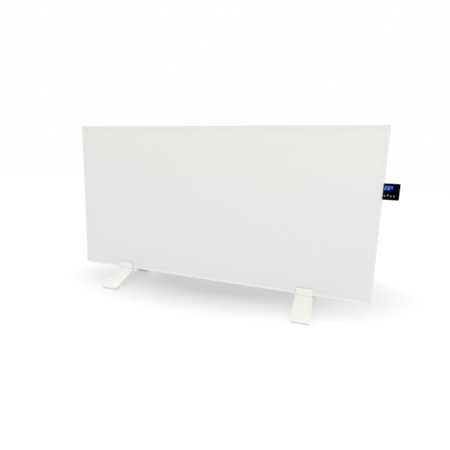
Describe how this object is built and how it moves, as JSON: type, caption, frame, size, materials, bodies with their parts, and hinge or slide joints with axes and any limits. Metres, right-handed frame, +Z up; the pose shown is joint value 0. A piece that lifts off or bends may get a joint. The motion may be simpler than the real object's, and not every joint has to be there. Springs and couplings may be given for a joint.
{
  "type": "infrared panel heater",
  "caption": "Free-standing flat infrared heater: white framed panel on two bent steel feet, with a black touch control module on its right edge.",
  "frame": {"origin": "on the floor, under the centre of the whole heater's box", "axes": "+X to the right seen from the front, +Y from the front face to the back, +Z up"},
  "size_m": [1.241, 0.248, 0.652],
  "materials": {
    "coated_frame": "satin",
    "coated_plate": "satin",
    "coated_foot": "satin",
    "rear_steel": "satin",
    "cast_key": "satin",
    "carbon_film": "matte",
    "copper": "satin",
    "foil": "gloss",
    "mineral_wool": "matte",
    "zinc": "satin",
    "rubber": "matte",
    "pad_rubber": "matte",
    "black_glass": "gloss",
    "black_plastic": "satin",
    "white_plastic": "satin",
    "display_blue": "gloss",
    "circuit_board": "satin",
    "relay_blue": "satin",
    "lead_cover": "satin",
    "ceramic": "matte"
  },
  "bodies": {
    "heater": {"frame_bottom": "coated_frame", "frame_right": "coated_frame", "frame_top": "coated_frame", "frame_left": "coated_frame", "corner_key_lower_left": "cast_key", "corner_key_lower_right": "cast_key", "corner_key_upper_right": "cast_key", "corner_key_upper_left": "cast_key", "front_plate": "coated_plate", "heating_film": "carbon_film", "busbar_lower": "copper", "busbar_upper": "copper", "reflective_foil": "foil", "insulation_mat": "mineral_wool", "rear_cover": "rear_steel", "cover_screw_lower_left": "zinc", "cover_screw_lower_middle": "zinc", "cover_screw_lower_right": "zinc", "cover_screw_upper_left": "zinc", "cover_screw_upper_middle": "zinc", "cover_screw_upper_right": "zinc", "foot_left_saddle": "coated_foot", "foot_left_front_leg": "coated_foot", "foot_left_front_pad": "pad_rubber", "foot_left_front_screw": "zinc", "foot_left_rear_leg": "coated_foot", "foot_left_rear_pad": "pad_rubber", "foot_left_rear_screw": "zinc", "foot_right_saddle": "coated_foot", "foot_right_front_leg": "coated_foot", "foot_right_front_pad": "pad_rubber", "foot_right_front_screw": "zinc", "foot_right_rear_leg": "coated_foot", "foot_right_rear_pad": "pad_rubber", "foot_right_rear_screw": "zinc", "thermal_cutout": "ceramic", "terminal_box_base": "white_plastic", "terminal_box_lid": "white_plastic", "terminal_box_screw_upper_left": "zinc", "terminal_box_screw_lower_right": "zinc", "terminal_block": "ceramic", "cable_gland_body": "white_plastic", "cable_gland_nut": "white_plastic", "tilt_switch_case": "black_plastic", "control_housing": "black_plastic", "control_glass": "black_glass", "display_module": "display_blue", "touch_board": "circuit_board", "power_board": "circuit_board", "relay": "relay_blue", "temperature_probe": "lead_cover", "control_mount_screw_lower": "zinc", "control_mount_screw_upper": "zinc", "power_switch_body": "black_plastic", "live_lead": "lead_cover", "neutral_lead": "lead_cover", "link_cable": "rubber"},
    "rocker": {"power_rocker": "black_plastic"},
    "pendulum": {"tilt_pendulum": "zinc"}
  },
  "joints": [
    {"name": "power_rocker_hinge", "type": "hinge", "parent": "heater", "child": "rocker", "pos_m": [0.5975, 0.0029, 0.4228], "axis": [0, -1, 0], "range_deg": [0, 20]},
    {"name": "tilt_pendulum_hinge", "type": "hinge", "parent": "heater", "child": "pendulum", "pos_m": [0.4635, 0.0256, 0.4485], "axis": [1, 0, 0], "range_deg": [-22, 22]}
  ]
}
